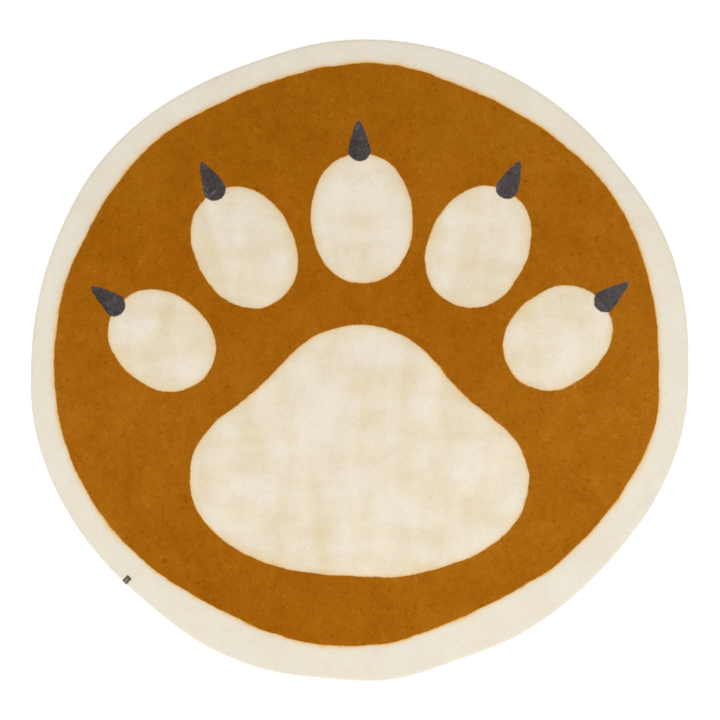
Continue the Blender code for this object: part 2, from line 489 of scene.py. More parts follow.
def shape_sheet(mesh, motif_raise):
    """Rounds the blank to the rug's outline, bends its rings to the rim's section, and raises the layers."""
    x, y, ring = points_of(mesh).T
    ring = np.rint(-ring)
    share = np.maximum(np.abs(x), np.abs(y))
    steep = np.abs(y) > np.abs(x)
    low, high = np.where(steep, x, y), np.where(steep, y, x)
    part = pi / 4 * low / np.where(high == 0, 1, high)
    bearing = np.where(steep, pi / 2 - part, part) + np.where(high < 0, pi, 0)
    edge = rim(bearing)
    shoulder, foot = edge - RIM_SHOULDER, edge - RIM_FOOT
    upper = ring <= SHOULDER_RINGS
    turn = pi / 2 * np.where(upper, ring / SHOULDER_RINGS, (ring - SHOULDER_RINGS) / FOOT_RINGS)
    out = share * np.where(upper, shoulder + RIM_SHOULDER * np.sin(turn), foot + RIM_FOOT * np.cos(turn))
    x, y = HUB.x + out * np.cos(bearing), HUB.y + out * np.sin(bearing)
    ground = soft_step(in_ground(x, y), -JOIN_SOFTNESS, JOIN_SOFTNESS)
    motif = soft_step(in_motif(x, y), -MOTIF_SOFTNESS, MOTIF_SOFTNESS)
    level = BORDER_THICKNESS + (GROUND_THICKNESS - BORDER_THICKNESS) * ground
    top = level + motif_raise * motif + hills(x, y)
    z = np.where(upper, RIM_HEIGHT + (top - RIM_HEIGHT) * np.cos(turn), RIM_HEIGHT * (1 - np.sin(turn)))
    move_points(mesh, x, y, z)
    on_top = np.where(ring == 0, soft_step(shoulder - out, 0, EVEN_RIM), 0)
    on_back = np.where(ring == LAST_RING, soft_step(foot - out, 0, EVEN_RIM), 0)
    write_attribute(mesh, "unevenness", "FLOAT", on_top - on_back)


def felting_tree(material):
    """Lumps and nubs in the top, and shallow hollows in the back, where the unevenness is negative."""
    tree, given = start_tree("felted_unevenness", ("Lump Size", "Lump Height", "Nub Size", "Nub Height"))
    parts = []
    for kind, detail in (("Lump", 1.0), ("Nub", 2.0)):
        scale = add(tree, MATH, (1.0, given[kind + " Size"]), operation="DIVIDE")[0]
        noise = add(tree, NOISE, {"Scale": scale, "Detail": detail})[0]
        level = add(tree, MATH, (noise, 0.5), operation="SUBTRACT")[0]
        height = given[kind + " Height"]
        parts.append(add(tree, MATH, (level, height), operation="MULTIPLY")[0])
    lumps = add(tree, MATH, parts, operation="ADD")[0]
    where = add(tree, ATTRIBUTE, {"Name": "unevenness"}, data_type="FLOAT")[0]
    top = add(tree, MATH, (where, 0.0), operation="MAXIMUM")[0]
    back = add(tree, MATH, (where, -1.0), operation="MULTIPLY", use_clamp=True)[0]
    hollows = add(tree, MATH, (lumps, 0.0), operation="MAXIMUM")[0]
    hollows = add(tree, MATH, (hollows, back), operation="MULTIPLY")[0]
    rise = add(tree, MATH, (lumps, top, hollows), operation="MULTIPLY_ADD")[0]
    offset = add(tree, COMBINE, {"Z": rise})[0]
    moved = add(tree, "GeometryNodeSetPosition", {"Geometry": given["Geometry"], "Offset": offset})[0]
    end_tree(tree, moved, material)
    return tree


def refine(mesh, inner, half_width):
    """Cuts the cells near the label finer. The mesh is in the label's own place."""
    sheet = bmesh.new()
    sheet.from_mesh(mesh)
    near = {point for point in sheet.verts if point.co.x > inner and abs(point.co.y) < half_width}
    edges = [edge for edge in sheet.edges if near.issuperset(edge.verts)]
    bmesh.ops.subdivide_edges(sheet, edges=edges, cuts=PINCH_CUTS, use_grid_fill=True)
    sheet.to_mesh(mesh)
    sheet.free()


def pinch(mesh):
    """Draws the felt in under the label's fold, with an even gap, so that the tape lies in it."""
    place = label_place()
    mesh.transform(place.inverted())
    half, inner = LABEL_WIDTH / 2 + CLEARANCE, FOLD_PROUD - LABEL_REACH - CLEARANCE
    refine(mesh, inner - 2 * PINCH_SOFTNESS, half + 2 * PINCH_SOFTNESS)
    x, y, z = points_of(mesh).T
    pull = soft_step(np.abs(y), half + PINCH_SOFTNESS, half) * soft_step(x, inner - PINCH_SOFTNESS, inner)
    out, up = np.maximum(x - FOLD_X, 0), z - FOLD_Z
    held = FOLD_RADIUS - TAPE / 2 - CLEARANCE
    shrink = 1 - pull * (1 - held / np.maximum(np.hypot(out, up), held))
    move_points(mesh, np.where(x > FOLD_X, FOLD_X + out * shrink, x), y, FOLD_Z + up * shrink)
    mesh.transform(place)


def mark_layers(mesh):
    """Stores how deep in the ground, the motif and the claws each point is. The back is outside them all."""
    x, y, z = points_of(mesh).T
    inside = np.column_stack((in_ground(x, y), in_motif(x, y), in_claws(x, y)))
    inside[z < RIM_HEIGHT] = WELL_OUTSIDE
    write_attribute(mesh, LAYERS, "FLOAT_VECTOR", inside)


# ---------------- the felt's finish

JOIN_BLUR = 1.3 * MM  # half the width of the blur where two colours meet
SLOW_WANDER = 6.5 * MM  # how far a join wanders
SLOW_RUN = 42 * MM  # the size of its bends
HAIRY_WANDER = 3 * MM  # how far its hairs stray
HAIRY_RUN = 6 * MM  # their size

Curls = namedtuple("Curls", "size seed width")  # width: how far off its middle value the noise still draws
TANGLE = (Curls(4.2 * MM, 1.0, 0.05), Curls(6.4 * MM, 2.0, 0.036), Curls(9.5 * MM, 3.0, 0.026))
TANGLE_TONE = 0.14  # against 1 for a pale curl
DARK_CURLS = Curls(16 * MM, 11.0, 0.034)
PALE_CURLS = Curls(14 * MM, 12.0, 0.034)
CURL_PATCH = 14 * MM  # the dark and the pale curls lie in patches of this size
PATCH_RANGE = (0.47, 0.57)  # of the patches' noise, from no curls to whole ones

CLOUD = 90 * MM  # the largest clouds
# A slow drift of tone, lighter and darker, over most of a metre, on every wool.
TONE_DRIFT_SIZE = 900 * MM
TONE_DRIFT_SEED = 152.0
TONE_DRIFT_MIDDLE = 0.6  # the value of its noise that changes nothing
TONE_DRIFT_SHARE = 0.7  # against 1 for the clouds

TUFTS = ((58 * MM, 150 * MM), (160 * MM, 54 * MM))  # across and up, of each of the two crossed sets
TUFT_RANGE = (0.82, 1.4)  # of the two sets' sum, from no stain to the most
MOST_STAIN = 0.48
BORDER_STAIN = 0.27  # against 1 for the motif
CURL_STAIN = 0.06  # added by a dark curl in the motif
MARGIN_STAIN = 0.1  # added at the motif's edge
STAINED_MARGIN = 26 * MM  # how far in it fades out

TINT_REACH = 3.6 * MM  # the tint of cream wool falls off by a factor of e over this distance from a join
BORDER_TINT = 1.2  # at the join
MOTIF_TINT = 0.75
TINT_PATCHES = 3.5  # e to this power is how much stronger it is in the lightest cloud than in the darkest

PEBBLE = 5 * MM
PEBBLE_RELIEF = 0.8  # millimetres, before the bump's strength
TANGLE_RELIEF = 0.16
FELT_SHEEN = {"Sheen Weight": 0.05, "Sheen Roughness": 0.6, "Sheen Tint": linear("f0dcb8")}

# How strongly each wool shows its clouds, its dark curls and its pale curls, in the eye's own even steps from
# black, 0, to white, 1.
EYE = 2.2
BORDER_MOTTLE = (0.07, 0.008, 0.006, 1)
GROUND_MOTTLE = (0.185, 0.062, 0.047, 1)
MOTIF_MOTTLE = (0.1, 0.018, 0.011, 1)
CLAW_MOTTLE = (0.25, 0.08, 0.14, 1)


def wandering_layers(tree, place):
    """How deep in each layer a place is, and each layer's mask. The joins wander, and are hairy on a scale of
    a few millimetres."""
    slow = add(tree, NOISE, {"Vector": place, "Scale": 1 / SLOW_RUN, "Detail": 2.0})[0]
    hairy = add(tree, NOISE, {"Vector": place, "Scale": 1 / HAIRY_RUN, "Detail": 3.0, "Roughness": 0.75})[0]
    middle = -(SLOW_WANDER + HAIRY_WANDER) / 2
    wander = add(tree, MATH, (slow, SLOW_WANDER, middle), operation="MULTIPLY_ADD")[0]
    wander = add(tree, MATH, (hairy, HAIRY_WANDER, wander), operation="MULTIPLY_ADD")[0]
    layers = add(tree, "ShaderNodeAttribute", attribute_name=LAYERS)["Vector"]
    depths, masks = [], []
    for part in add(tree, "ShaderNodeSeparateXYZ", {"Vector": layers}):
        depths.append(add(tree, MATH, (part, wander), operation="ADD")[0])
        blur = {"Value": depths[-1], "From Min": -JOIN_BLUR, "From Max": JOIN_BLUR}
        masks.append(add(tree, MAP_RANGE, blur, interpolation_type="SMOOTHSTEP")[0])
    return depths, masks


def curled_lines(tree, place, curls):
    """Thin curled lines, along which a noise of one size passes its middle value."""
    wavy = {"Vector": place, "W": curls.seed, "Scale": 1 / curls.size, "Detail": 1.0, "Distortion": 1.2}
    noise = add(tree, NOISE, wavy, noise_dimensions="4D")[0]
    away = add(tree, MATH, (noise, 0.5), operation="SUBTRACT")[0]
    away = add(tree, MATH, (away,), operation="ABSOLUTE")[0]
    return add(tree, MAP_RANGE, {"Value": away, "From Max": curls.width, "To Min": 1.0, "To Max": 0.0})[0]


def wisps_and_curls(tree, place):
    """Wool fibres are 0.03 mm thick, too fine to show. A tangle of wisps half a millimetre wide is drawn for
    them all over, in three sizes of curl, and here and there curls of about a millimetre, dark or pale."""
    tangle = curled_lines(tree, place, TANGLE[0])
    for curls in TANGLE[1:]:
        lines = curled_lines(tree, place, curls)
        tangle = add(tree, MATH, (tangle, lines), operation="MAXIMUM")[0]
    sparse = []
    for curls in (DARK_CURLS, PALE_CURLS):
        lines = curled_lines(tree, place, curls)
        spread = {"Vector": place, "W": curls.seed + 10, "Scale": 1 / CURL_PATCH, "Detail": 1.0}
        patches = add(tree, NOISE, spread, noise_dimensions="4D")[0]
        shown = {"Value": patches, "From Min": PATCH_RANGE[0], "From Max": PATCH_RANGE[1]}
        broken = add(tree, MAP_RANGE, shown)[0]
        sparse.append(add(tree, MATH, (lines, broken), operation="MULTIPLY")[0])
    return tangle, *sparse


def clouds_and_tone_drift(tree, place):
    """Clouds from 90 mm across down to 1.4 mm, each size about as strong as the last, on their own and with a
    slow drift of tone, lighter and darker, over most of a metre."""
    clouds = add(tree, NOISE, {"Vector": place, "Scale": 1 / CLOUD, "Detail": 6.0, "Roughness": 0.9})[0]
    clouds = add(tree, MATH, (clouds, 0.5), operation="SUBTRACT")[0]
    change = {"Vector": place, "W": TONE_DRIFT_SEED, "Scale": 1 / TONE_DRIFT_SIZE, "Detail": 1.0}
    tone_drift = add(tree, NOISE, change, noise_dimensions="4D")[0]
    tone_drift = add(tree, MATH, (tone_drift, TONE_DRIFT_MIDDLE), operation="SUBTRACT")[0]
    return clouds, add(tree, MATH, (tone_drift, TONE_DRIFT_SHARE, clouds), operation="MULTIPLY_ADD")[0]


def stains(tree, place, depth, curls):
    """How much the border and the motif are stained. The ground's wool shows through the cream in crossed
    tufts, the way that the layers were laid, and more so along the motif's edge and in its dark curls."""
    tufts = []
    for across, up in TUFTS:
        stretched = add(tree, VECTOR_MATH, (place, (1 / across, 1 / up, 1.0)), operation="MULTIPLY")[0]
        soft = {"Vector": stretched, "Scale": 1.0, "Detail": 3.0, "Roughness": 0.46, "Distortion": 0.3}
        tufts.append(add(tree, NOISE, soft)[0])
    crossed = add(tree, MATH, tufts, operation="ADD")[0]
    shown = {"Value": crossed, "From Min": TUFT_RANGE[0], "From Max": TUFT_RANGE[1], "To Max": MOST_STAIN}
    stain = add(tree, MAP_RANGE, shown)[0]
    border = add(tree, MATH, (stain, BORDER_STAIN), operation="MULTIPLY")[0]
    fall = {"Value": depth, "From Max": STAINED_MARGIN, "To Min": MARGIN_STAIN, "To Max": 0.0}
    margin = add(tree, MAP_RANGE, fall, interpolation_type="SMOOTHSTEP")[0]
    motif = add(tree, MATH, (stain, margin), operation="ADD")[0]
    motif = add(tree, MATH, (curls, CURL_STAIN, motif), operation="MULTIPLY_ADD")[0]
    return border, motif


def felted_wool(looks):
    """Wet-felted wool, laid down in coloured layers and rubbed together. It is matt, with only a faint bloom
    of loose fibres at a glancing angle. Its joins wander, curled fibres lie all over it, and ochre has worked
    up through the cream where the cream was laid thin."""
    matt = {"Roughness": 0.95, "Specular IOR Level": 0.03, **FELT_SHEEN}
    made, tree, shader = start_material("wet_felted_wool", matt)
    place = add(tree, "ShaderNodeTexCoord")["Object"]
    depths, masks = wandering_layers(tree, place)
    tangle, dark, pale = wisps_and_curls(tree, place)
    clouds, clouds_and_change = clouds_and_tone_drift(tree, place)
    border_stain, motif_stain = stains(tree, place, depths[1], dark)

    # Where cream meets ochre the two wools' fibres mix, and the cream is tinted, here more and there less. A
    # Mix node of colours clamps its factor, so a tint past 1 is the tinted wool itself.
    patchy = add(tree, MATH, (clouds, TINT_PATCHES), operation="MULTIPLY")[0]
    creams = []
    rows = ((looks.border, border_stain, 1, BORDER_TINT), (looks.motif, motif_stain, -1, MOTIF_TINT))
    for depth, (base, stain, side, at_join) in zip(depths, rows):
        tint = add(tree, MATH, (depth, side / TINT_REACH, patchy), operation="MULTIPLY_ADD")[0]
        tint = add(tree, MATH, (tint,), operation="EXPONENT")[0]
        tint = add(tree, MATH, (tint, at_join), operation="MULTIPLY")[0]
        cream = add(tree, MIX, {0: stain, 6: tuple(base), 7: tuple(looks.stain)}, data_type="RGBA")[2]
        creams.append(add(tree, MIX, {0: tint, 6: cream, 7: tuple(looks.tint)}, data_type="RGBA")[2])

    # Each layer covers the last one, with its own colour and its own mottle.
    wool, cream = creams
    mottle = BORDER_MOTTLE
    layers = ((tuple(looks.ground), GROUND_MOTTLE), (cream, MOTIF_MOTTLE), (tuple(looks.claw), CLAW_MOTTLE))
    for mask, (layer, share) in zip(masks, layers):
        wool = add(tree, MIX, {0: mask, 6: wool, 7: layer}, data_type="RGBA")[2]
        mottle = add(tree, MIX, {0: mask, 6: mottle, 7: share}, data_type="RGBA")[2]
    dark = add(tree, MATH, (dark, -1.0), operation="MULTIPLY")[0]
    faint = add(tree, MATH, (tangle, TANGLE_TONE), operation="MULTIPLY")[0]
    pale = add(tree, MATH, (pale, faint), operation="MAXIMUM")[0]
    parts = add(tree, COMBINE, {"X": clouds_and_change, "Y": dark, "Z": pale})[0]
    tone = add(tree, VECTOR_MATH, (parts, mottle), operation="DOT_PRODUCT")["Value"]
    seen = add(tree, "ShaderNodeGamma", {"Color": wool, "Gamma": 1 / EYE})[0]
    seen = add(tree, VECTOR_MATH, (seen, tone), operation="ADD")[0]
    seen = add(tree, VECTOR_MATH, (seen, (0.0, 0.0, 0.0)), operation="MAXIMUM")[0]
    toned = add(tree, "ShaderNodeGamma", {"Color": seen, "Gamma": EYE})[0]
    tree.links.new(toned, shader.inputs["Base Color"])

    # Relief: the wisps, over pebbly nubs.
    pebbles = add(tree, NOISE, {"Vector": place, "Scale": 1 / PEBBLE, "Detail": 2.0, "Roughness": 0.6})[0]
    wispy = add(tree, MATH, (tangle, TANGLE_RELIEF), operation="MULTIPLY")[0]
    relief = add(tree, MATH, (pebbles, PEBBLE_RELIEF, wispy), operation="MULTIPLY_ADD")[0]
    bump = add(tree, "ShaderNodeBump", {"Strength": 0.6, "Distance": 1 * MM, "Height": relief})[0]
    tree.links.new(bump, shader.inputs["Normal"])
    return made


class FELTRUG_OT_felt(bpy.types.Operator):
    """Felt the rug: one closed sheet of wool with its coloured layers"""

    bl_idname = "felt_rug.felt"
    bl_label = "Felt the Rug"

    def execute(self, context):
        looks = context.scene.felt_rug_felt
        mesh = blank_sheet(looks.cells)
        shape_sheet(mesh, looks.motif_raise)
        blank = show("felt_blank", mesh)
        sizes = {
            "Lump Size": looks.lump_size,
            "Lump Height": looks.lump_height,
            "Nub Size": looks.nub_size,
            "Nub Height": looks.nub_height,
        }
        felt = grow(blank, felting_tree(felted_wool(looks)), sizes)
        bpy.data.objects.remove(blank)
        pinch(felt)
        mark_layers(felt)
        rug = show("felt_rug_wool", felt)
        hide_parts("felt_rug")
        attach(rug, "root")
        return {"FINISHED"}


# ---------------- loose fibres

TOP_SEED = 7
RIM_SEED = 19
SIDES = 3  # round a wisp
STEPS = 5  # along it
LEAST_SCALE = 0.45  # of a wisp's length and arch
MOST_SCALE = 1.25
ROOT_DEPTH = 0.3 * MM  # how far within the felt a wisp starts
TIP_HEIGHT = 0.1 * MM  # how far above it the wisp ends
MOST_DIP = 0.15  # radians that it may tip down into the felt
KINK = 8 * MM  # how far apart a wisp's kinks are
KINK_SPREAD = (1.6, 1.6, 0.3)  # how far the noise's whole range carries its tip on each axis, in lengths
TAPER_START = 0.5  # along its length
TIP_THICKNESS = 0.4  # against 1 at its root
STRAY = 3 * MM  # how far a wisp's colour strays over a join
LABEL_CLEAR = 14 * MM  # no wisp starts nearer than this to the label
FLOOR_CLEAR = 0.15 * MM
NO_LIMIT = -9.0  # lower than any place
STREAK = 12 * MM  # of lighter or darker wool


def scattered_roots(tree, given, seed):
    """Points over the faces whose normals lie between two heights, clear of the label, and their rotations.
    The layers that a wisp takes its colour from stray from those at its root, so colours mix at the joins."""
    normal = add(tree, "GeometryNodeInputNormal")[0]
    up = add(tree, "ShaderNodeSeparateXYZ", {"Vector": normal})["Z"]
    above = add(tree, MATH, (up, given["Normal From"]), operation="GREATER_THAN")[0]
    below = add(tree, MATH, (up, given["Normal To"]), operation="LESS_THAN")[0]
    spot = add(tree, "GeometryNodeInputPosition")[0]
    label = tuple(label_place().translation)
    away = add(tree, VECTOR_MATH, (spot, label), operation="DISTANCE")["Value"]
    clear = add(tree, MATH, (away, LABEL_CLEAR), operation="GREATER_THAN")[0]
    density = given["Density"]
    for share in (above, below, clear):
        density = add(tree, MATH, (density, share), operation="MULTIPLY")[0]
    spread = {"Mesh": given["Geometry"], "Density": density, "Seed": seed}
    roots = add(tree, "GeometryNodeDistributePointsOnFaces", spread, distribute_method="RANDOM")
    layers = add(tree, ATTRIBUTE, {"Name": LAYERS}, data_type="FLOAT_VECTOR")[0]
    limits = {0: (-STRAY,) * 3, 1: (STRAY,) * 3, "Seed": seed + 1}
    stray = add(tree, "FunctionNodeRandomValue", limits, data_type="FLOAT_VECTOR")[0]
    layers = add(tree, VECTOR_MATH, (layers, stray), operation="ADD")[0]
    stored = {"Geometry": roots["Points"], "Name": LAYERS, "Value": layers}
    marked = add(tree, "GeometryNodeStoreNamedAttribute", stored, data_type="FLOAT_VECTOR", domain="POINT")[0]
    return marked, roots["Rotation"]


def wisp_bend(tree, given):
    """A wisp's bend: it rises from within the felt, arches over and comes back to it."""
    half = add(tree, MATH, (given["Length"], 0.5), operation="MULTIPLY")[0]
    start = add(tree, COMBINE, {"Z": -ROOT_DEPTH})[0]
    arch = add(tree, COMBINE, {"X": half, "Z": given["Arch"]})[0]
    tip = add(tree, COMBINE, {"X": given["Length"], "Z": TIP_HEIGHT})[0]
    return start, arch, tip


def kinked(tree, curves, length, along):
    """Nudges each point of the wisps by a noise, more towards the tip. None goes into the floor."""
    noise = add(tree, NOISE, {"Scale": 1 / KINK, "Detail": 2.0})["Color"]
    nudge = add(tree, VECTOR_MATH, (noise, (0.5, 0.5, 0.5)), operation="SUBTRACT")[0]
    reach = add(tree, MATH, (along, length), operation="MULTIPLY")[0]
    nudge = add(tree, VECTOR_MATH, {0: nudge, "Scale": reach}, operation="SCALE")[0]
    nudge = add(tree, VECTOR_MATH, (nudge, KINK_SPREAD), operation="MULTIPLY")[0]
    spot = add(tree, "GeometryNodeInputPosition")[0]
    moved = add(tree, VECTOR_MATH, (spot, nudge), operation="ADD")[0]
    moved = add(tree, VECTOR_MATH, (moved, (NO_LIMIT, NO_LIMIT, FLOOR_CLEAR)), operation="MAXIMUM")[0]
    return add(tree, "GeometryNodeSetPosition", {"Geometry": curves, "Position": moved})[0]


def wisp_tree(name, seed, material):
    """Scatters curved wisps over the felt, each wisp unlike the next."""
    sizes = ("Length", "Thickness", "Arch", "Density", "Normal From", "Normal To", "Most Lift")
    tree, given = start_tree(name, sizes)
    roots, stand = scattered_roots(tree, given, seed)
    lift = add(tree, MATH, (given["Most Lift"], -1.0), operation="MULTIPLY")[0]
    least = add(tree, COMBINE, {"Y": lift})[0]
    limits = {0: least, 1: (0.0, MOST_DIP, tau), "Seed": seed + 2}
    turn = add(tree, "FunctionNodeRandomValue", limits, data_type="FLOAT_VECTOR")[0]
    turns = {"Rotation": stand, "Rotate By": turn}
    turned = add(tree, "FunctionNodeRotateRotation", turns, rotation_space="LOCAL")[0]
    limits = {2: LEAST_SCALE, 3: MOST_SCALE, "Seed": seed + 3}
    scale = add(tree, "FunctionNodeRandomValue", limits, data_type="FLOAT")[1]
    loose = strewn(tree, roots, STEPS, wisp_bend(tree, given), turned, scale)
    along = add(tree, "GeometryNodeSplineParameter")["Factor"]
    thinner = {"Value": along, "From Min": TAPER_START, "To Min": 1.0, "To Max": TIP_THICKNESS}
    taper = add(tree, MAP_RANGE, thinner)[0]
    curves = kinked(tree, loose, given["Length"], along)
    end_tree(tree, tubes(tree, curves, given["Thickness"], SIDES, taper), material)
    return tree


def loose_wool(felt):
    """Loose wool fibre, in the colour of the layer that it stands in, lighter and darker along its length."""
    matt = {"Roughness": 0.9, "Specular IOR Level": 0.03, **FELT_SHEEN}
    made, tree, shader = start_material("loose_wool_fibre", matt)
    layers = add(tree, "ShaderNodeAttribute", attribute_name=LAYERS)["Vector"]
    parts = add(tree, "ShaderNodeSeparateXYZ", {"Vector": layers})
    wool = tuple(felt.border)
    for part, layer in zip(parts, (felt.ground, felt.motif, felt.claw)):
        mask = add(tree, MATH, (part, 0.0), operation="GREATER_THAN")[0]
        wool = add(tree, MIX, {0: mask, 6: wool, 7: tuple(layer)}, data_type="RGBA")[2]
    place = add(tree, "ShaderNodeTexCoord")["Object"]
    mottled(tree, shader, wool, place, STREAK, contrast=0.5, darkest=0.8)
    return made


class FELTRUG_OT_fibres(bpy.types.Operator):
    """Raise the loose wisps on the top of the felt and the fuzz on its rim"""

    bl_idname = "felt_rug.fibres"
    bl_label = "Raise Loose Fibres"

    def execute(self, context):
        looks = context.scene.felt_rug_fibres
        wool = loose_wool(context.scene.felt_rug_felt)
        top = {
            "Length": looks.length,
            "Arch": 1.6 * MM,
            "Density": looks.density,
            "Normal From": 0.9,
            "Normal To": 2.0,
            "Most Lift": 0.3,
        }
        edge = {
            "Length": looks.fuzz_length,
            "Arch": 2.2 * MM,
            "Density": looks.fuzz_density,
            "Normal From": -0.4,
            "Normal To": 0.9,
            "Most Lift": 0.9,
        }
        for name, seed, sizes in (("surface_wisps", TOP_SEED, top), ("rim_fuzz", RIM_SEED, edge)):
            sizes["Thickness"] = looks.thickness
            wisps = show(name, grow(bpy.data.objects["felt_rug_wool"], wisp_tree(name, seed, wool), sizes))
            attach(wisps, "root")
        return {"FINISHED"}


# ---------------- the woven label

CELLS_PER_THREAD = 2
TAPE_MAP = "tape_run_and_width"
STRIPE_HALF = 1.6 * MM  # half the width of the tape's lighter middle
STRIPE_MARGIN = 4.2 * MM  # from the ends of the lighter middle to the tape's ends
STRIPE_BLUR = 0.3 * MM
THREAD_TONE = 0.72  # of the threads that lie one way, against the tape's own colour
THREAD_CONTRAST = 0.16  # how much lighter those that lie the other way are
FLECK = 0.9 * MM
FIBRE = 0.25 * MM


def fold_over(run):
    """Where the tape's middle is, outward and up in the label's section, at a run from the fold's middle."""
    past = np.maximum(np.abs(run) - pi / 2 * FOLD_RADIUS, 0)
    turn = np.clip(run / FOLD_RADIUS, -pi / 2, pi / 2)
    return FOLD_X + FOLD_RADIUS * np.cos(turn) - past, FOLD_Z + FOLD_RADIUS * np.sin(turn)


def bent_tape(pitch):
    """A grid of the tape bent over the rim, with its run and width kept as a UV map and as attributes."""
    step = pitch / CELLS_PER_THREAD
    long, wide = round(2 * HALF_TAPE / step), round(LABEL_WIDTH / step)
    sheet = bmesh.new()
    bmesh.ops.create_grid(sheet, x_segments=long, y_segments=wide, size=1)
    flat_map = sheet.loops.layers.uv.new(TAPE_MAP)
    for face in sheet.faces:
        for loop in face.loops:
            loop[flat_map].uv = (loop.vert.co.x * HALF_TAPE, loop.vert.co.y * LABEL_WIDTH / 2)
    mesh = mesh_of(sheet, "bent_tape")
    x, y, _ = points_of(mesh).T
    run, across = x * HALF_TAPE, y * LABEL_WIDTH / 2
    out, up = fold_over(run)
    move_points(mesh, out, across, up)
    mesh.transform(label_place())
    write_attribute(mesh, "run", "FLOAT", run)
    write_attribute(mesh, "across", "FLOAT", across)
    return mesh


def weave_tree(material):
    """Presses a plain weave into a sheet, along the run and the width that its attributes give."""
    tree, given = start_tree("plain_weave", ("Thread Pitch", "Weave Height"))
    waves = []
    for name in ("run", "across"):
        place = add(tree, ATTRIBUTE, {"Name": name}, data_type="FLOAT")[0]
        threads = add(tree, MATH, (place, given["Thread Pitch"]), operation="DIVIDE")[0]
        angle = add(tree, MATH, (threads, pi), operation="MULTIPLY")[0]
        waves.append(add(tree, MATH, (angle,), operation="SINE")[0])
    weave = add(tree, MATH, waves, operation="MULTIPLY")[0]
    height = add(tree, MATH, (weave, given["Weave Height"]), operation="MULTIPLY")[0]
    normal = add(tree, "GeometryNodeInputNormal")[0]
    offset = add(tree, VECTOR_MATH, {0: normal, "Scale": height}, operation="SCALE")[0]
    woven = add(tree, "GeometryNodeSetPosition", {"Geometry": given["Geometry"], "Offset": offset})[0]
    end_tree(tree, woven, material)
    return tree


def woven_tape(looks):
    """Narrow tape woven of polyester thread: a dull silky sheen, dark at both edges and lighter between. Its
    threads are drawn half a millimetre apart, coarser than they are, so that they show."""
    silky = {"Roughness": 0.62, "Specular IOR Level": 0.3}
    made, tree, shader = start_material("woven_polyester_tape", silky)
    place = add(tree, "ShaderNodeUVMap", uv_map=TAPE_MAP)[0]
    parts = add(tree, "ShaderNodeSeparateXYZ", {"Vector": place})
    stripe = 1.0
    for part, edge in ((parts["Y"], STRIPE_HALF), (parts["X"], HALF_TAPE - STRIPE_MARGIN)):
        away = add(tree, MATH, (part,), operation="ABSOLUTE")[0]
        blur = {"Value": away, "From Min": edge - STRIPE_BLUR, "From Max": edge + STRIPE_BLUR}
        beyond = add(tree, MAP_RANGE, blur)[0]
        within = add(tree, MATH, (1.0, beyond), operation="SUBTRACT")[0]
        stripe = add(tree, MATH, (stripe, within), operation="MULTIPLY")[0]
    base = add(tree, MIX, {0: stripe, 6: tuple(looks.edge), 7: tuple(looks.middle)}, data_type="RGBA")[2]
    threads = add(tree, "ShaderNodeTexChecker", {"Vector": place, "Scale": 1 / looks.pitch})["Fac"]
    threads = add(tree, MATH, (threads, THREAD_CONTRAST, THREAD_TONE), operation="MULTIPLY_ADD")[0]
    mottled(tree, shader, base, place, FLECK, contrast=0.4, darkest=threads)
    fine = add(tree, NOISE, {"Vector": place, "Scale": 1 / FIBRE, "Detail": 1.0})[0]
    bump = add(tree, "ShaderNodeBump", {"Strength": 0.4, "Distance": 0.05 * MM, "Height": fine})[0]
    tree.links.new(bump, shader.inputs["Normal"])
    return made


class FELTRUG_OT_label(bpy.types.Operator):
    """Weave the label and fold it over the rim"""

    bl_idname = "felt_rug.label"
    bl_label = "Weave the Label"

    def execute(self, context):
        looks = context.scene.felt_rug_label
        bent = show("bent_tape", bent_tape(looks.pitch))
        sizes = {"Thread Pitch": looks.pitch, "Weave Height": looks.relief}
        bent.data = grow(bent, weave_tree(woven_tape(looks)), sizes)
        wall = bent.modifiers.new("tape thickness", "SOLIDIFY")
        wall.thickness = TAPE - 2 * looks.relief
        wall.offset = 0
        label = show("woven_label", evaluated(bent))
        bpy.data.objects.remove(bent)
        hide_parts("edge_label")
        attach(label, "root")
        return {"FINISHED"}


# ---------------- the label's stitches

SEAM_INSET = 1.8 * MM  # from the tape's ends
SEAM_MARGIN = 0.8 * MM  # from its edges
STITCH_COUNT = 4
STITCH_STEPS = 10
THREAD_SIDES = 8
DIP = 0.7  # of the thread's thickness, from the tape down to a stitch's ends
CROWN = 1.2  # and up to the middle of its bend
LOWER_SEAM_RISE = 0.55  # of the thread's thickness, from the tape's lower face up into it
LOWER_SEAM_PULL = -0.3  # how far its stitches stand out, and downward, against 1 for the upper seam's
# size of the painted shade that stands for the light and dark of the thread's twisted plies
PLY_SHADE_SIZE = 0.4 * MM


def seam_lines(looks):
    """The label's two seams, one edge each, from the first stitch's middle to the last's. The lower one's
    stitches are pulled in, so that they stay off the floor."""
    half = LABEL_WIDTH / 2 - SEAM_MARGIN - looks.stitch / 2
    out, _ = fold_over(HALF_TAPE - SEAM_INSET)
    lines = bmesh.new()
    for height in (LEG_TOP + TAPE / 2, LEG_BOTTOM - TAPE / 2 + LOWER_SEAM_RISE * looks.thread):
        lines.edges.new([lines.verts.new((out, side * half, height)) for side in (-1, 1)])
    mesh = mesh_of(lines, "seam_lines")
    write_attribute(mesh, "pull", "FLOAT", (1, 1, LOWER_SEAM_PULL, LOWER_SEAM_PULL))
    mesh.transform(label_place())
    return mesh


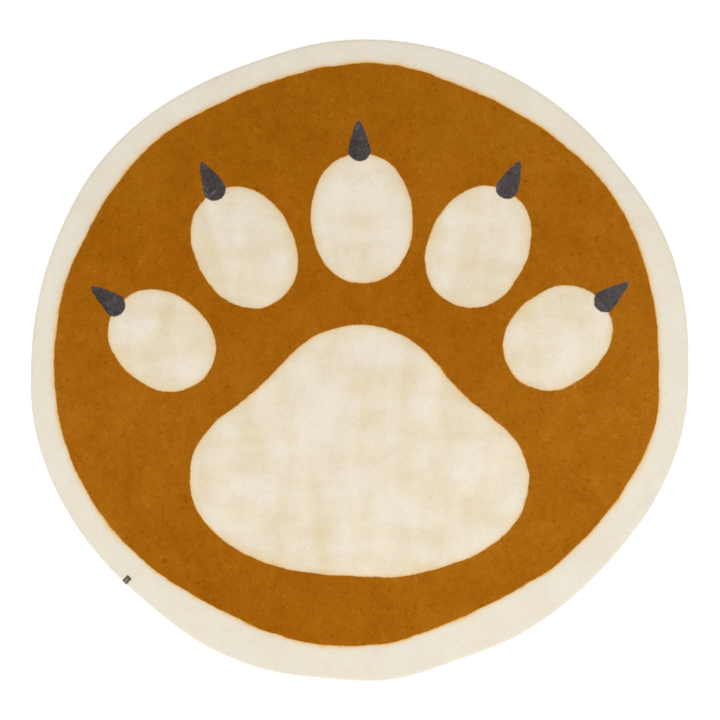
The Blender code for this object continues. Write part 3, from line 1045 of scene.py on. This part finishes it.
def stitch_tree(material):
    """Lays stitches along each line: short threads that come up out of the tape and dive back into it."""
    tree, given = start_tree("stitches", ("Stitch", "Thread"))
    path = add(tree, "GeometryNodeMeshToCurve", {"Mesh": given["Geometry"]})[0]
    spots = add(tree, "GeometryNodeResampleCurve", {"Curve": path, "Count": STITCH_COUNT})[0]
    half = add(tree, MATH, (given["Stitch"], 0.5), operation="MULTIPLY")[0]
    back = add(tree, MATH, (half, -1.0), operation="MULTIPLY")[0]
    dip = add(tree, MATH, (given["Thread"], -DIP), operation="MULTIPLY")[0]
    rise = add(tree, MATH, (given["Thread"], CROWN), operation="MULTIPLY")[0]
    start, end = (add(tree, COMBINE, {"X": side, "Z": dip})[0] for side in (back, half))
    crown = add(tree, COMBINE, {"Z": rise})[0]
    tangent = add(tree, "GeometryNodeInputTangent")[0]
    along = add(tree, "FunctionNodeAlignRotationToVector", {"Vector": tangent}, axis="X", pivot_axis="Z")[0]
    pull = add(tree, ATTRIBUTE, {"Name": "pull"}, data_type="FLOAT")[0]
    scale = add(tree, COMBINE, {"X": 1.0, "Y": 1.0, "Z": pull})[0]
    loose = strewn(tree, spots, STITCH_STEPS, (start, crown, end), along, scale)
    end_tree(tree, tubes(tree, loose, given["Thread"], THREAD_SIDES), material)
    return tree


def sewing_thread(looks):
    """Spun polyester sewing thread: a soft sheen, and painted shade for the light and dark of its twisted
    plies.
    """
    made, tree, shader = start_material("spun_sewing_thread", {"Roughness": 0.55, "Specular IOR Level": 0.35})
    place = add(tree, "ShaderNodeTexCoord")["Object"]
    mottled(tree, shader, tuple(looks.sewing)[:3], place, PLY_SHADE_SIZE, contrast=0.6, darkest=0.7)
    return made


class FELTRUG_OT_stitches(bpy.types.Operator):
    """Sew the label down near its two ends"""

    bl_idname = "felt_rug.stitches"
    bl_label = "Sew the Label"

    def execute(self, context):
        looks = context.scene.felt_rug_label
        lines = show("seam_lines", seam_lines(looks))
        sizes = {"Stitch": looks.stitch, "Thread": looks.thread}
        stitches = show("label_stitches", grow(lines, stitch_tree(sewing_thread(looks)), sizes))
        bpy.data.objects.remove(lines)
        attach(stitches, "root")
        return {"FINISHED"}


# ---------------- the stage

FLOOR_SIDE = 60.0
FLOOR_DROP = 0.1 * MM  # below the underside of the felt
LAMP_SIDE = 2.4
LAMP_PLACE = Vector((0.35, -2.5, 2.9))
BOARD_GLOW = 0.62
BOARD_GRAIN = 40 * MM
BOARD_TONE = 0.49
BOARD_CONTRAST = 0.02


def white_board():
    """Matt white painted board, with a little light of its own so that it shows as bare white."""
    matt = {"Roughness": 0.9, "Specular IOR Level": 0.1}
    glow = {"Emission Color": (1, 1, 1, 1), "Emission Strength": BOARD_GLOW}
    made, tree, shader = start_material("matt_white_board", {**matt, **glow})
    place = add(tree, "ShaderNodeTexCoord")["Object"]
    grain = add(tree, NOISE, {"Vector": place, "Scale": 1 / BOARD_GRAIN, "Detail": 3.0})[0]
    level = add(tree, MATH, (grain, BOARD_CONTRAST, BOARD_TONE), operation="MULTIPLY_ADD")[0]
    tree.links.new(level, shader.inputs["Base Color"])
    return made


class FELTRUG_OT_stage(bpy.types.Operator):
    """Lay the floor, light the rug softly and set the camera above it"""

    bl_idname = "felt_rug.stage"
    bl_label = "Set the Stage"

    def execute(self, context):
        scene, looks = context.scene, context.scene.felt_rug_stage
        board = bmesh.new()
        low = Matrix.Translation((0, 0, -FLOOR_DROP))
        bmesh.ops.create_grid(board, x_segments=1, y_segments=1, size=FLOOR_SIDE / 2, matrix=low)
        floor = show("floor", mesh_of(board, "floor"))
        floor.data.materials.append(white_board())

        scene.world = bpy.data.worlds.new("even_white_light")
        scene.world.use_nodes = True
        sky = scene.world.node_tree.nodes["Background"]
        sky.inputs["Color"].default_value = (1, 1, 1, 1)
        sky.inputs["Strength"].default_value = looks.sky
        panel = bpy.data.lights.new("soft_lamp", "AREA")
        panel.shape = "SQUARE"
        panel.size = LAMP_SIDE
        panel.energy = looks.lamp
        lamp = bpy.data.objects.new("soft_lamp", panel)
        lamp.location = LAMP_PLACE
        lamp.rotation_euler = (-LAMP_PLACE).to_track_quat("-Z", "Y").to_euler()
        scene.collection.objects.link(lamp)

        metres_per_pixel = (CAD_BOX[1][0] - CAD_BOX[0][0]) / RUG_WIDTH_PX
        lens = bpy.data.cameras.new("camera")
        lens.lens, lens.sensor_width = LENS, SENSOR
        camera = bpy.data.objects.new("camera", lens)
        middle = (Vector(CAD_BOX[0]) + Vector(CAD_BOX[1])) / 2
        camera.location = (
            middle.x - RUG_RIGHT_PX * metres_per_pixel,
            middle.y - RUG_UP_PX * metres_per_pixel,
            RIM_HEIGHT + PHOTO_SIDE * metres_per_pixel * LENS / SENSOR,
        )
        scene.collection.objects.link(camera)
        scene.camera = camera
        scene.view_settings.view_transform = "Standard"
        return {"FINISHED"}


# ---------------- panel and registration

GROUPS = {
    "felt_rug_felt": FELTRUG_PG_felt,
    "felt_rug_fibres": FELTRUG_PG_fibres,
    "felt_rug_label": FELTRUG_PG_label,
    "felt_rug_stage": FELTRUG_PG_stage,
}
OPERATORS = (FELTRUG_OT_felt, FELTRUG_OT_fibres, FELTRUG_OT_label, FELTRUG_OT_stitches, FELTRUG_OT_stage)


class FELTRUG_PT_panel(bpy.types.Panel):
    """Sizes, colours and steps of the felt rug"""

    bl_label = "Felt Rug"
    bl_idname = "FELTRUG_PT_panel"
    bl_space_type = "VIEW_3D"
    bl_region_type = "UI"
    bl_category = "Felt Rug"

    def draw(self, context):
        for name, group in GROUPS.items():
            box = self.layout.box()
            for key in group.__annotations__:
                box.prop(getattr(context.scene, name), key)
        for operator in OPERATORS:
            self.layout.operator(operator.bl_idname)


CLASSES = (*GROUPS.values(), *OPERATORS, FELTRUG_PT_panel)


def register():
    for kind in CLASSES:
        bpy.utils.register_class(kind)
    for name, group in GROUPS.items():
        setattr(bpy.types.Scene, name, PointerProperty(type=group))


def unregister():
    for name in GROUPS:
        delattr(bpy.types.Scene, name)
    for kind in reversed(CLASSES):
        bpy.utils.unregister_class(kind)


def main():
    register()
    bpy.ops.felt_rug.felt()
    bpy.ops.felt_rug.fibres()
    bpy.ops.felt_rug.label()
    bpy.ops.felt_rug.stitches()
    bpy.ops.felt_rug.stage()


if __name__ == "__main__":
    main()
